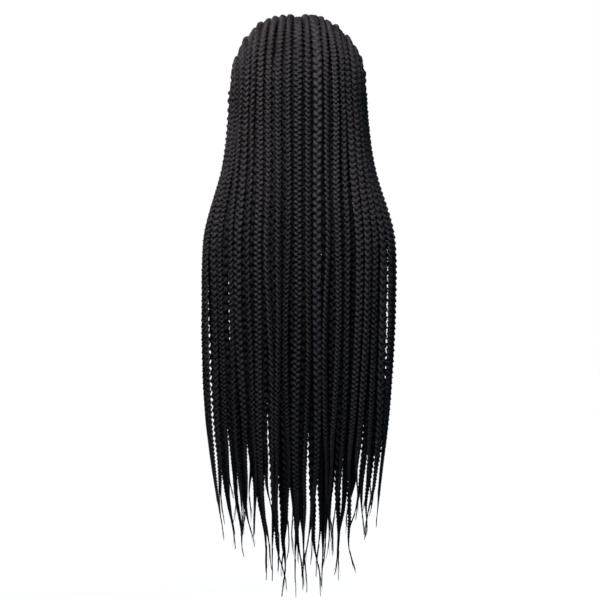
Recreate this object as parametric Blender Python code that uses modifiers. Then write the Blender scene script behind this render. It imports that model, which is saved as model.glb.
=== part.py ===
"""Long box-braid wig, as it hangs when worn: a hollow cap and three layers of braids.

Units are metres and +Z is up. The wearer faces -Y. The origin is the crown of the head,
where the inside of the cap rests on it.
"""

import math
from collections import namedtuple

import bmesh
import bpy
import numpy as np

# Head and cap
HEAD_HALF_WIDTH = 0.078
HEAD_HALF_LENGTH = 0.098
DOME_HEIGHT = 0.105  # crown to the widest level of the head
CAP_WALL = 0.0015
CAP_COLUMNS = 40
CAP_ROWS = 12

# Braids
BRAID_WIDTH = 0.0124
BRAID_THICKNESS = 0.0085
SEAT_GAP = 0.0003  # between a braid's root and the cap
LAYER_GAP = 0.0018  # between one layer of braids and the next
CROWN_CLEARANCE = 0.0022  # under a braid where it bends over the cap
HAIR_LIFT = 0.0198  # outer layer's centre line over the cap, at the head's widest level
ROOT_MARGIN = 0.006  # from the hairline's edge to the middle of a root
ROOT_RISE = 0.070  # length over which a braid rises from its root to its layer
ROOT_SHARE = 0.55  # size of a braid at its root, as a share of its full size
ROOT_TAPER = 0.045  # length over which it reaches its full size

# Fall of the hair below the head
FALL_DROP = 0.867  # crown to the longest tip
FALL_HALF_WIDTH = 0.141  # to the middle of the outermost braid, at shoulder level
SHOULDER_PUSH = 0.006  # how far the shoulders push the fall back

# Roots of the outer braids: one behind the crown, then along the parting to each side,
# then along the front hairline. Angles run from the back of the head.
PARTING_BACK = 0.016
PARTING_FIRST = -0.001
PARTING_STEP = 0.0165
PARTING_HALF_GAP = 0.0070
PARTING_ROOTS = 5
HAIRLINE_FRONT_DEG = 169
HAIRLINE_SIDE_DEG = 112
HAIRLINE_ROOTS = 6
LANE_DEG = 7.5  # from one outer braid to the next where they cross the top of the head
LANE_TURN = 1.5  # sideways travel for each step back, from the parting to the lane
HAIRLINE_TURN = 1.2  # the same, from the hairline
TEMPLE_SHORTCUT = 0.25  # how far the lowest hairline braid leaves its lane for the short way
LANE_ROUND = 0.14  # how gently a braid turns into its lane

LAYER_PITCH = BRAID_THICKNESS + LAYER_GAP
CROWN_LIFT = SEAT_GAP + CROWN_CLEARANCE + BRAID_THICKNESS / 2
CAP_RADII = np.array([HEAD_HALF_WIDTH, HEAD_HALF_LENGTH, DOME_HEIGHT]) + CAP_WALL
HEAD_CENTRE = np.array([0.0, 0.0, -DOME_HEIGHT])
HAIR_HALF_WIDTH = CAP_RADII[0] + HAIR_LIFT
HAIR_BACK = CAP_RADII[1] + HAIR_LIFT

# Lower edge of the cap. The angle runs from the back of the head, and the drop below the
# crown is a share of DOME_HEIGHT.
RimPoint = namedtuple("RimPoint", "angle_deg drop")
RIM = [
    RimPoint(0, 1.60),
    RimPoint(45, 1.55),
    RimPoint(68, 1.36),
    RimPoint(84, 1.10),
    RimPoint(98, 1.03),
    RimPoint(113, 1.16),
    RimPoint(127, 0.90),
    RimPoint(148, 0.60),
    RimPoint(180, 0.48),
]

# Plan of the hanging hair. level: share of the way from the head's widest level to the
# longest tip. spread: share of the way from the hair's width at the head to
# FALL_HALF_WIDTH. push: share of SHOULDER_PUSH. centre: middle of the plan's ellipse,
# as a share of HAIR_BACK. sweep_deg: how far round the ellipse the hair reaches.
FallSection = namedtuple("FallSection", "level spread push centre sweep_deg")
FALL = [
    FallSection(0.000, 0.00, 0.0, 0.00, 86),
    FallSection(0.066, 0.10, 0.0, 0.04, 87),
    FallSection(0.125, 0.22, 0.1, 0.16, 88),
    FallSection(0.184, 0.43, 0.4, 0.31, 90),
    FallSection(0.243, 0.76, 0.8, 0.44, 90),
    FallSection(0.300, 0.99, 1.0, 0.51, 90),
    FallSection(0.420, 1.00, 1.0, 0.55, 90),
    FallSection(0.540, 0.94, 0.5, 0.57, 90),
    FallSection(0.660, 0.82, 0.0, 0.58, 90),
    FallSection(0.780, 0.60, -0.5, 0.60, 90),
    FallSection(0.880, 0.46, -0.8, 0.61, 90),
    FallSection(1.000, 0.35, -1.0, 0.62, 90),
]

# A braid's size along its length, past its root. along: share of its length. width and
# thickness: shares of BRAID_WIDTH and BRAID_THICKNESS.
BraidSection = namedtuple("BraidSection", "along width thickness")
BRAID = [
    BraidSection(0.000, 1.00, 1.00),
    BraidSection(0.150, 1.00, 1.00),
    BraidSection(0.250, 0.96, 0.96),
    BraidSection(0.400, 0.87, 0.88),
    BraidSection(0.550, 0.78, 0.80),
    BraidSection(0.700, 0.67, 0.71),
    BraidSection(0.820, 0.54, 0.61),
    BraidSection(0.910, 0.38, 0.46),
    BraidSection(0.965, 0.23, 0.30),
    BraidSection(1.000, 0.09, 0.12),
]

# Layers, from the outside in. inset: how many layers lie over it. root_drop and
# side_root_drop: its roots below the crown at the back and at the sides, as shares of
# DOME_HEIGHT. root_sweep_deg: how far round the cap its roots reach. landing and
# side_landing: levels at which it leaves the head, as in FALL. reach: share of the plan's
# sweep that it covers.
Layer = namedtuple(
    "Layer",
    "name count inset root_drop side_root_drop root_sweep_deg landing side_landing reach",
)
OUTER_COUNT = 2 * (PARTING_ROOTS + HAIRLINE_ROOTS) + 1
LAYERS = [
    Layer("outer", OUTER_COUNT, 0, None, None, None, 0.0, 0.02, 1.00),
    Layer("middle", 20, 1, 0.38, 0.62, 84, 0.0, 0.0, 0.91),
    Layer("nape", 16, 2.2, 1.32, 1.25, 70, 0.085, 0.085, 0.95),
]

# Lowest tips across the fall. across: distance from the middle, as a share of
# FALL_HALF_WIDTH. level: as in FALL.
TipPoint = namedtuple("TipPoint", "across level")
TIPS = [
    TipPoint(0.00, 1.000),
    TipPoint(0.30, 0.990),
    TipPoint(0.55, 0.962),
    TipPoint(0.75, 0.920),
    TipPoint(1.00, 0.850),
]
TIP_SCATTER = 0.13  # how much shorter the shortest braids are, as a share of the fall
INSET_TAPER = 0.15  # how much closer together the layers are at the longest tip
WANDER = 0.0020  # sideways drift of a braid in the fall, at the tips
HEAD_POINTS = 40
FALL_POINTS = 120
RELAX_PASSES = 8
HEAD_STEP = 0.025  # from one section to the next on the head
FALL_SECTIONS = 10
FALL_CROWDING = 1.5  # how much closer together the sections of the fall are at its top

BLACK_HAIR = ("hair_black", (0.018, 0.017, 0.019, 1.0), 0.42)
CAP_NET = ("cap_net", (0.012, 0.011, 0.012, 1.0), 0.85)


def smooth(x):
    """Eases from 0 to 1."""
    x = min(max(x, 0.0), 1.0)
    return x * x * (3 - 2 * x)


def read(table, column, at):
    """A column of a table at a value of its first column, on a smooth curve."""
    keys = [row[0] for row in table]
    values = [getattr(row, column) for row in table]
    at = min(max(at, keys[0]), keys[-1])
    i = min(max(int(np.searchsorted(keys, at)) - 1, 0), len(keys) - 2)

    def slope(j):
        a, b = max(j - 1, 0), min(j + 1, len(keys) - 1)
        return (values[b] - values[a]) / (keys[b] - keys[a])

    span = keys[i + 1] - keys[i]
    t = (at - keys[i]) / span
    return (
        (2 * t**3 - 3 * t**2 + 1) * values[i]
        + (t**3 - 2 * t**2 + t) * span * slope(i)
        + (3 * t**2 - 2 * t**3) * values[i + 1]
        + (t**3 - t**2) * span * slope(i + 1)
    )


def scatter(number, salt):
    """A fixed share from 0 to 1 that looks random."""
    return (math.sin(number * 12.9898 + salt * 78.233) * 43758.5453) % 1.0


def on_cap(angle, polar):
    """Direction to a point of the cap. The angle runs from the back, the polar from the crown."""
    return np.array(
        [
            math.sin(polar) * math.sin(angle),
            math.sin(polar) * math.cos(angle),
            math.cos(polar),
        ]
    )


def rim_polar(angle):
    """Polar angle of the cap's edge at an angle from the back."""
    turned = abs(math.degrees(math.atan2(math.sin(angle), math.cos(angle))))
    return math.acos(1 - read(RIM, "drop", turned))


def height_over_cap(point):
    """How far a point lies over the cap, measured along the line from the head's centre."""
    q = (point - HEAD_CENTRE) / CAP_RADII
    reach = np.linalg.norm(q)
    direction = q / reach
    return direction, (reach - 1) * np.linalg.norm(CAP_RADII * direction)


def over_cap(direction, lift):
    """The point at a height over the cap, in a direction of on_cap."""
    surface = CAP_RADII * direction
    return HEAD_CENTRE + surface * (1 + lift / np.linalg.norm(surface))


def cap_normal(direction):
    normal = direction / CAP_RADII
    return normal / np.linalg.norm(normal)


def fall_point(layer, share, level):
    """Point and outward direction on a layer of the fall. share is -1 to 1 across it."""
    inset = layer.inset * LAYER_PITCH * (1 - INSET_TAPER * level)
    half_width = HAIR_HALF_WIDTH + (FALL_HALF_WIDTH - HAIR_HALF_WIDTH) * read(
        FALL, "spread", level
    )
    back = HAIR_BACK + SHOULDER_PUSH * read(FALL, "push", level)
    centre = HAIR_BACK * read(FALL, "centre", level)
    sweep = math.radians(read(FALL, "sweep_deg", level)) * layer.reach
    width, depth = half_width - inset, back - centre - inset
    turns = np.linspace(0, sweep, 60)
    steps = np.hypot(
        np.diff(width * np.sin(turns)),
        np.diff(depth * np.cos(turns)),
    )
    along = np.concatenate([[0], np.cumsum(steps)])
    turn = math.copysign(np.interp(abs(share) * along[-1], along, turns), share)
    z = -DOME_HEIGHT - (FALL_DROP - DOME_HEIGHT) * level
    point = np.array([width * math.sin(turn), centre + depth * math.cos(turn), z])
    normal = np.array([math.sin(turn) / width, math.cos(turn) / depth, 0.0])
    return point, normal / np.linalg.norm(normal)


def outer_root(number):
    """Direction to an outer braid's root, counted out from the middle of the back."""
    count = abs(number)
    if count > PARTING_ROOTS:
        step = (HAIRLINE_FRONT_DEG - HAIRLINE_SIDE_DEG) / (HAIRLINE_ROOTS - 1)
        angle = math.radians(HAIRLINE_FRONT_DEG - (count - PARTING_ROOTS - 1) * step)
        polar = rim_polar(angle) - ROOT_MARGIN / DOME_HEIGHT
        return on_cap(math.copysign(angle, number), polar)
    if count:
        x = math.copysign(PARTING_HALF_GAP, number)
        y = PARTING_FIRST - (count - 1) * PARTING_STEP
    else:
        x, y = 0.0, PARTING_BACK
    q = np.array([x / CAP_RADII[0], y / CAP_RADII[1]])
    return np.array([q[0], q[1], math.sqrt(1 - q @ q)])


def root_of(layer, number, share):
    """Direction to a braid's root on the cap."""
    if layer.root_drop is None:
        return outer_root(number)
    angle = math.radians(layer.root_sweep_deg) * share
    drop = layer.root_drop + (layer.side_root_drop - layer.root_drop) * smooth(abs(share))
    return on_cap(angle, math.acos(1 - drop))


def layer_rise(layer, polar):
    """How far a layer stands off the cap at a polar angle, over a braid that lies on it."""
    top = max(0.0, HAIR_LIFT - layer.inset * LAYER_PITCH - CROWN_LIFT)
    if layer.inset == 0:
        return top * smooth(math.degrees(polar) / 72)
    return top * smooth((math.degrees(polar) - 55) / 35)


def root_size(travelled):
    """Size of a braid at a distance from its root, as a share of its full size."""
    return ROOT_SHARE + (1 - ROOT_SHARE) * smooth(travelled / ROOT_TAPER)


def lane_of(direction):
    """(sideways, back) angles of a direction: out from the parting, and over from the crown."""
    return math.asin(direction[0]), math.atan2(direction[1], direction[2])


def outer_route(number, root, end):
    """Directions of an outer braid: off the parting, then back along its own lane.

    The lower a braid's root is on the hairline, the more directly it goes to its landing.
    """
    count = abs(number)
    (out_root, back_root), (out_end, back_end) = lane_of(abs_x(root)), lane_of(abs_x(end))
    lane = math.radians(LANE_DEG * count)
    turn = LANE_TURN if count <= PARTING_ROOTS else HAIRLINE_TURN
    shortcut = TEMPLE_SHORTCUT * smooth((count - PARTING_ROOTS - 1) / (HAIRLINE_ROOTS - 1))
    route = []
    for t, straight in zip(np.linspace(0, 1, HEAD_POINTS), straight_route(root, end)):
        back = back_root + (back_end - back_root) * t
        drift = lane + (out_end - lane) * smooth(back / back_end)
        turning = out_root + turn * (back - back_root)
        rounding = LANE_ROUND * abs(drift - out_root)
        out = (turning + drift - math.hypot(turning - drift, rounding)) / 2
        start = (out_root + drift - math.hypot(out_root - drift, rounding)) / 2
        out += (out_root - start) * (1 - smooth(t / 0.3))
        out += (out_end - out) * smooth((t - 0.7) / 0.3)
        lane_way = np.array(
            [
                math.copysign(math.sin(out), number),
                math.cos(out) * math.sin(back),
                math.cos(out) * math.cos(back),
            ]
        )
        mixed = lane_way + (straight - lane_way) * shortcut
        route.append(mixed / np.linalg.norm(mixed))
    return route


def abs_x(direction):
    return np.array([abs(direction[0]), direction[1], direction[2]])


def straight_route(root, end):
    """Directions on the shortest way from a root to the landing."""
    turn = math.acos(min(1.0, float(root @ end)))
    return [
        (root * math.sin((1 - t) * turn) + end * math.sin(t * turn)) / math.sin(turn)
        for t in np.linspace(0, 1, HEAD_POINTS)
    ]


def head_part(layer, number, root, landing):
    """Centre line and outward directions from a root, over the cap, to the landing point."""
    end, end_height = height_over_cap(landing)
    if layer.inset == 0:
        route = outer_route(number, root, end)
    else:
        route = straight_route(root, end)
    end_error = end_height - CROWN_LIFT - layer_rise(layer, math.acos(end[2]))
    travelled = 0.0
    points, normals = [], []
    for t, direction in zip(np.linspace(0, 1, HEAD_POINTS), route):
        if points:
            travelled += DOME_HEIGHT * np.linalg.norm(direction - before)
        before = direction
        seat = SEAT_GAP + BRAID_THICKNESS / 2 * root_size(travelled)
        seat += CROWN_CLEARANCE * smooth(travelled / HEAD_STEP)
        rise = layer_rise(layer, math.acos(direction[2])) * smooth(travelled / ROOT_RISE)
        points.append(over_cap(direction, seat + rise + end_error * smooth(t)))
        normals.append(cap_normal(direction))
    return points, normals


def relaxed(points, passes):
    """Rounds the bends of a line, with its first points and its end held."""
    points = np.array(points)
    held = 3
    for _ in range(passes):
        middle = (points[held - 1 : -2] + points[held + 1 :]) / 2
        points[held:-1] += 0.5 * (middle - points[held:-1])
    return points


def braid_line(layer, number, share):
    """Dense centre line of one braid and its outward directions."""
    salt = layer.inset * 100 + number
    sideways = smooth((abs(share) - 0.55) / 0.45)
    landing_level = layer.landing + (layer.side_landing - layer.landing) * sideways
    landing, _ = fall_point(layer, share, landing_level)
    points, normals = head_part(layer, number, root_of(layer, number, share), landing)
    across = abs(fall_point(layer, share, 0.9)[0][0]) / FALL_HALF_WIDTH
    tip_level = read(TIPS, "level", across) - TIP_SCATTER * scatter(salt, 1) ** 1.3
    for level in np.linspace(landing_level, tip_level, FALL_POINTS)[1:]:
        down = (level - landing_level) / (1 - landing_level)
        point, normal = fall_point(layer, share, level)
        side = np.array([normal[1], -normal[0], 0.0])
        swing = math.sin(6.3 * (down * (1.2 + scatter(salt, 2)) + scatter(salt, 3)))
        depth_swing = math.sin(6.3 * (down * 1.1 + scatter(salt, 4)))
        point = point + (side * swing + normal * 0.5 * depth_swing) * WANDER * down
        points.append(point)
        normals.append(normal)
    return relaxed(points, RELAX_PASSES), relaxed(normals, RELAX_PASSES)


def section_shares(line):
    """Where the sections lie: evenly on the head, then at levels that all braids share."""
    steps = np.linalg.norm(np.diff(line, axis=0), axis=1)
    along = np.concatenate([[0], np.cumsum(steps)]) / steps.sum()
    fall, fall_drop = along[HEAD_POINTS - 1 :], -line[HEAD_POINTS - 1 :, 2]
    count = math.ceil(fall[0] * steps.sum() / HEAD_STEP)
    levels = (np.arange(1, FALL_SECTIONS) / FALL_SECTIONS) ** FALL_CROWDING
    drops = DOME_HEIGHT + (FALL_DROP - DOME_HEIGHT) * levels
    drops = drops[(drops > fall_drop[0] + HEAD_STEP / 2) & (drops < fall_drop[-1] - HEAD_STEP)]
    below = np.interp(drops, fall_drop, fall)
    return [*np.linspace(0, fall[0], count + 1), *below, 1.0]


def frames_at(line, normals, shares):
    """(point, across, outward) of a line at shares of its length."""
    steps = np.linalg.norm(np.diff(line, axis=0), axis=1)
    along = np.concatenate([[0], np.cumsum(steps)])
    tangents = np.gradient(line, along, axis=0)
    found = []
    for share in shares:
        at = share * along[-1]
        point, tangent, normal = (
            np.array([np.interp(at, along, values[:, k]) for k in range(3)])
            for values in (line, tangents, normals)
        )
        tangent /= np.linalg.norm(tangent)
        across = np.cross(tangent, normal)
        across /= np.linalg.norm(across)
        found.append((point, across, np.cross(across, tangent)))
    return found


def hexagon(width, thickness):
    """Flattened six-sided outline, as (across, outward) pairs."""
    return [
        (width / 2, 0),
        (width / 4, thickness / 2),
        (-width / 4, thickness / 2),
        (-width / 2, 0),
        (-width / 4, -thickness / 2),
        (width / 4, -thickness / 2),
    ]


def material(name, colour, roughness):
    made = bpy.data.materials.get(name) or bpy.data.materials.new(name)
    made.use_nodes = True
    shader = made.node_tree.nodes["Principled BSDF"]
    shader.inputs["Base Color"].default_value = colour
    shader.inputs["Roughness"].default_value = roughness
    shader.inputs["Metallic"].default_value = 0.0
    return made


def add_object(name, mesh, finish, collection):
    made = bpy.data.objects.new(name, mesh)
    made.data.materials.append(material(*finish))
    collection.objects.link(made)
    return made


def lofted(name, sections):
    """Mesh lofted through rings of points, with both ends closed."""
    shape = bmesh.new()
    rings = [[shape.verts.new(point) for point in section] for section in sections]
    for upper, lower in zip(rings, rings[1:]):
        for k in range(len(upper)):
            after = (k + 1) % len(upper)
            shape.faces.new((upper[k], upper[after], lower[after], lower[k]))
    shape.faces.new(rings[0])
    shape.faces.new(rings[-1][::-1])
    bmesh.ops.recalc_face_normals(shape, faces=shape.faces)
    mesh = bpy.data.meshes.new(name)
    shape.to_mesh(mesh)
    shape.free()
    mesh.shade_smooth()
    return mesh


def add_cap(collection):
    """The hollow cap: a dome down to its rim, thickened outwards from the head."""
    shape = bmesh.new()
    inner_radii = CAP_RADII - CAP_WALL
    crown = shape.verts.new(HEAD_CENTRE + inner_radii * on_cap(0, 0))
    rings = []
    for row in range(1, CAP_ROWS + 1):
        ring = []
        for column in range(CAP_COLUMNS):
            angle = 2 * math.pi * column / CAP_COLUMNS
            polar = rim_polar(angle) * row / CAP_ROWS
            ring.append(shape.verts.new(HEAD_CENTRE + inner_radii * on_cap(angle, polar)))
        rings.append(ring)
    for column in range(CAP_COLUMNS):
        after = (column + 1) % CAP_COLUMNS
        shape.faces.new((crown, rings[0][column], rings[0][after]))
        for upper, lower in zip(rings, rings[1:]):
            shape.faces.new((upper[column], lower[column], lower[after], upper[after]))
    bmesh.ops.recalc_face_normals(shape, faces=shape.faces)
    mesh = bpy.data.meshes.new("cap")
    shape.to_mesh(mesh)
    shape.free()
    mesh.shade_smooth()
    cap = add_object("cap", mesh, CAP_NET, collection)
    wall = cap.modifiers.new("wall", "SOLIDIFY")
    wall.thickness = CAP_WALL
    wall.offset = 1.0


def add_braids(layer, collection):
    half = (layer.count - 1) / 2
    for place in range(layer.count):
        number = place - half
        share = number / half
        line, normals = braid_line(layer, number, share)
        shares = section_shares(line)
        length = np.linalg.norm(np.diff(line, axis=0), axis=1).sum()
        sections = []
        for along, (point, across, outward) in zip(shares, frames_at(line, normals, shares)):
            size = root_size(along * length)
            outline = hexagon(
                BRAID_WIDTH * size * read(BRAID, "width", along),
                BRAID_THICKNESS * size * read(BRAID, "thickness", along),
            )
            sections.append([point + across * a + outward * o for a, o in outline])
        name = f"braid_{layer.name}_{place + 1:02d}"
        add_object(name, lofted(name, sections), BLACK_HAIR, collection)


def main():
    for old in list(bpy.data.objects):
        bpy.data.objects.remove(old)
    wig = bpy.data.collections.new("braid_wig")
    bpy.context.scene.collection.children.link(wig)
    add_cap(wig)
    for layer in LAYERS:
        add_braids(layer, wig)


main()
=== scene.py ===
"""Looks of the long box-braid wig: plaited braids and a net cap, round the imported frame.

Units are metres and +Z is up. The wearer faces -Y. The head, the cap and the routes of the
braids follow the same constants and functions as the solids.
"""

import math
from collections import namedtuple

import bpy
import numpy as np
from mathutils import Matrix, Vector


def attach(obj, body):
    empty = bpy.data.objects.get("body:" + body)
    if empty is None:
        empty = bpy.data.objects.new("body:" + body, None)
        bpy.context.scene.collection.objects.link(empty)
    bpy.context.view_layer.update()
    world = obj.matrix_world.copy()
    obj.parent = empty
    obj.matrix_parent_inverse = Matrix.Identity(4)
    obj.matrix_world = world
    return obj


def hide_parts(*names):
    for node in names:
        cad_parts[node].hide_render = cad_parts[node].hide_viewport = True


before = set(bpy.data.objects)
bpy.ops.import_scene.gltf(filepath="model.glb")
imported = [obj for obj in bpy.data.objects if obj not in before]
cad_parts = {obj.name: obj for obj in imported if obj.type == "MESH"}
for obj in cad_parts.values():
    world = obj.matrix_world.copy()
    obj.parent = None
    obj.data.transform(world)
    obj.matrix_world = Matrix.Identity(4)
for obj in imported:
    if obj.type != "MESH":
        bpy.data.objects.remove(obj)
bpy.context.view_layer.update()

# Head and cap
HEAD_HALF_WIDTH = 0.078
HEAD_HALF_LENGTH = 0.098
DOME_HEIGHT = 0.105  # crown to the widest level of the head
CAP_WALL = 0.0015
DOME_COLUMNS = 120
DOME_ROWS = 40
DOME_WALL_SHARE = 0.86  # wall of the dressed cap, as a share of CAP_WALL

# Braids
BRAID_WIDTH = 0.0124
BRAID_THICKNESS = 0.0085
SEAT_GAP = 0.0003  # between a braid's root and the cap
LAYER_GAP = 0.0018  # between one layer of braids and the next
CROWN_CLEARANCE = 0.0022  # under a braid where it bends over the cap
HAIR_LIFT = 0.0198  # outer layer's centre line over the cap, at the head's widest level
ROOT_MARGIN = 0.006  # from the hairline's edge to the middle of a root
ROOT_RISE = 0.070  # length over which a braid rises from its root to its layer
ROOT_SHARE = 0.55  # size of a braid at its root, as a share of its full size
ROOT_TAPER = 0.045  # length over which it reaches its full size

# Fall of the hair below the head
FALL_DROP = 0.867  # crown to the longest tip
FALL_HALF_WIDTH = 0.141  # to the middle of the outermost braid, at shoulder level
SHOULDER_PUSH = 0.006  # how far the shoulders push the fall back

# Roots of the outer braids: one behind the crown, then along the parting to each side,
# then along the front hairline. Angles run from the back of the head.
PARTING_BACK = 0.016
PARTING_FIRST = -0.001
PARTING_STEP = 0.0165
PARTING_HALF_GAP = 0.0070
PARTING_ROOTS = 5
HAIRLINE_FRONT_DEG = 169
HAIRLINE_SIDE_DEG = 112
HAIRLINE_ROOTS = 6
LANE_DEG = 7.5  # from one outer braid to the next where they cross the top of the head
LANE_TURN = 1.5  # sideways travel for each step back, from the parting to the lane
HAIRLINE_TURN = 1.2  # the same, from the hairline
TEMPLE_SHORTCUT = 0.25  # how far the lowest hairline braid leaves its lane for the short way
LANE_ROUND = 0.14  # how gently a braid turns into its lane
LANE_ENDS = 0.3  # share of the way over which it leaves its root, or nears its landing

# Polar angles at which a layer begins to stand off the cap and has its full height
OUTER_RISE_DEG = (0, 72)
INNER_RISE_DEG = (55, 90)

LAYER_PITCH = BRAID_THICKNESS + LAYER_GAP
CROWN_LIFT = SEAT_GAP + CROWN_CLEARANCE + BRAID_THICKNESS / 2
CAP_RADII = np.array([HEAD_HALF_WIDTH, HEAD_HALF_LENGTH, DOME_HEIGHT]) + CAP_WALL
HEAD_CENTRE = np.array([0.0, 0.0, -DOME_HEIGHT])
HAIR_HALF_WIDTH = CAP_RADII[0] + HAIR_LIFT
HAIR_BACK = CAP_RADII[1] + HAIR_LIFT

# Lower edge of the cap. The angle runs from the back of the head, and the drop below the
# crown is a share of DOME_HEIGHT.
RimPoint = namedtuple("RimPoint", "angle_deg drop")
RIM = [
    RimPoint(0, 1.60),
    RimPoint(45, 1.55),
    RimPoint(68, 1.36),
    RimPoint(84, 1.10),
    RimPoint(98, 1.03),
    RimPoint(113, 1.16),
    RimPoint(127, 0.90),
    RimPoint(148, 0.60),
    RimPoint(180, 0.48),
]

# Plan of the hanging hair. level: share of the way from the head's widest level to the
# longest tip. spread: share of the way from the hair's width at the head to
# FALL_HALF_WIDTH. push: share of SHOULDER_PUSH. centre: middle of the plan's ellipse,
# as a share of HAIR_BACK. sweep_deg: how far round the ellipse the hair reaches.
FallSection = namedtuple("FallSection", "level spread push centre sweep_deg")
FALL = [
    FallSection(0.000, 0.00, 0.0, 0.00, 86),
    FallSection(0.066, 0.10, 0.0, 0.04, 87),
    FallSection(0.125, 0.22, 0.1, 0.16, 88),
    FallSection(0.184, 0.43, 0.4, 0.31, 90),
    FallSection(0.243, 0.76, 0.8, 0.44, 90),
    FallSection(0.300, 0.99, 1.0, 0.51, 90),
    FallSection(0.420, 1.00, 1.0, 0.55, 90),
    FallSection(0.540, 0.94, 0.5, 0.57, 90),
    FallSection(0.660, 0.82, 0.0, 0.58, 90),
    FallSection(0.780, 0.60, -0.5, 0.60, 90),
    FallSection(0.880, 0.46, -0.8, 0.61, 90),
    FallSection(1.000, 0.35, -1.0, 0.62, 90),
]

# A braid's size along its length, past its root. along: share of its length. width and
# thickness: shares of BRAID_WIDTH and BRAID_THICKNESS.
BraidSection = namedtuple("BraidSection", "along width thickness")
BRAID = [
    BraidSection(0.000, 1.00, 1.00),
    BraidSection(0.150, 1.00, 1.00),
    BraidSection(0.250, 0.96, 0.96),
    BraidSection(0.400, 0.87, 0.88),
    BraidSection(0.550, 0.78, 0.80),
    BraidSection(0.700, 0.67, 0.71),
    BraidSection(0.820, 0.54, 0.61),
    BraidSection(0.910, 0.38, 0.46),
    BraidSection(0.965, 0.23, 0.30),
    BraidSection(1.000, 0.09, 0.12),
]

# Layers, from the outside in. inset: how many layers lie over it. root_drop and
# side_root_drop: its roots below the crown at the back and at the sides, as shares of
# DOME_HEIGHT. root_sweep_deg: how far round the cap its roots reach. landing and
# side_landing: levels at which it leaves the head, as in FALL. reach: share of the plan's
# sweep that it covers.
Layer = namedtuple(
    "Layer",
    "name count inset root_drop side_root_drop root_sweep_deg landing side_landing reach",
)
OUTER_COUNT = 2 * (PARTING_ROOTS + HAIRLINE_ROOTS) + 1
LAYERS = [
    Layer("outer", OUTER_COUNT, 0, None, None, None, 0.0, 0.02, 1.00),
    Layer("middle", 20, 1, 0.38, 0.62, 84, 0.0, 0.0, 0.91),
    Layer("nape", 16, 2.2, 1.32, 1.25, 70, 0.085, 0.085, 0.95),
]

# Lowest tips across the fall. across: distance from the middle, as a share of
# FALL_HALF_WIDTH. level: as in FALL.
TipPoint = namedtuple("TipPoint", "across level")
TIPS = [
    TipPoint(0.00, 1.000),
    TipPoint(0.30, 0.990),
    TipPoint(0.55, 0.962),
    TipPoint(0.75, 0.920),
    TipPoint(1.00, 0.850),
]
TIP_PLAN = 0.9  # level of the plan in which a tip's distance from the middle is read
TIP_SCATTER = 0.13  # how much shorter the shortest braids are, as a share of the fall
TIP_SCATTER_POWER = 1.3  # over 1, so that few braids are so short
INSET_TAPER = 0.15  # how much closer together the layers are at the longest tip
WANDER = 0.0020  # sideways drift of a braid in the fall, at the tips
WANDER_DEPTH = 0.5  # its drift outwards, as a share of that
WANDER_TURN = 6.3  # one wave of the drift, radians
WANDER_WAVES = 1.2  # fewest waves sideways. The most is one more.
WANDER_DEPTH_WAVES = 1.1
SIDE_LANDING = 0.55  # braids from this share outwards land nearer to side_landing
SWEEP_POINTS = 60
HEAD_POINTS = 40
FALL_POINTS = 120
RELAX_PASSES = 8
RELAX_HELD = 3  # points next to the root that stay where they are
RELAX_SHARE = 0.5  # how far a point moves to the middle of its neighbours in one pass
HEAD_STEP = 0.025  # length over which a braid rises by CROWN_CLEARANCE


def smooth(x):
    """Eases from 0 to 1."""
    x = min(max(x, 0.0), 1.0)
    return x * x * (3 - 2 * x)


def read(table, column, at):
    """A column of a table at a value of its first column, on a smooth curve."""
    keys = [row[0] for row in table]
    values = [getattr(row, column) for row in table]
    at = min(max(at, keys[0]), keys[-1])
    i = min(max(int(np.searchsorted(keys, at)) - 1, 0), len(keys) - 2)

    def slope(j):
        a, b = max(j - 1, 0), min(j + 1, len(keys) - 1)
        return (values[b] - values[a]) / (keys[b] - keys[a])

    span = keys[i + 1] - keys[i]
    t = (at - keys[i]) / span
    return (
        (2 * t**3 - 3 * t**2 + 1) * values[i]
        + (t**3 - 2 * t**2 + t) * span * slope(i)
        + (3 * t**2 - 2 * t**3) * values[i + 1]
        + (t**3 - t**2) * span * slope(i + 1)
    )


def scatter(number, salt):
    """A fixed share from 0 to 1 that looks random. The arguments only tell draws apart."""
    return (math.sin(number * 12.9898 + salt * 78.233) * 43758.5453) % 1.0


def on_cap(angle, polar):
    """Direction to a point of the cap. The angle runs from the back, the polar from the crown."""
    return np.array(
        [
            math.sin(polar) * math.sin(angle),
            math.sin(polar) * math.cos(angle),
            math.cos(polar),
        ]
    )


def rim_polar(angle):
    """Polar angle of the cap's edge at an angle from the back."""
    turned = abs(math.degrees(math.atan2(math.sin(angle), math.cos(angle))))
    return math.acos(1 - read(RIM, "drop", turned))


def height_over_cap(point):
    """Direction of a point, as in on_cap, and how far it lies over the cap on that line."""
    q = (point - HEAD_CENTRE) / CAP_RADII
    reach = np.linalg.norm(q)
    direction = q / reach
    return direction, (reach - 1) * np.linalg.norm(CAP_RADII * direction)


def over_cap(direction, lift):
    """The point at a height over the cap, in a direction of on_cap."""
    surface = CAP_RADII * direction
    return HEAD_CENTRE + surface * (1 + lift / np.linalg.norm(surface))


def cap_normal(direction):
    """Outward direction of the cap where a direction of on_cap meets it."""
    normal = direction / CAP_RADII
    return normal / np.linalg.norm(normal)


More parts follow.
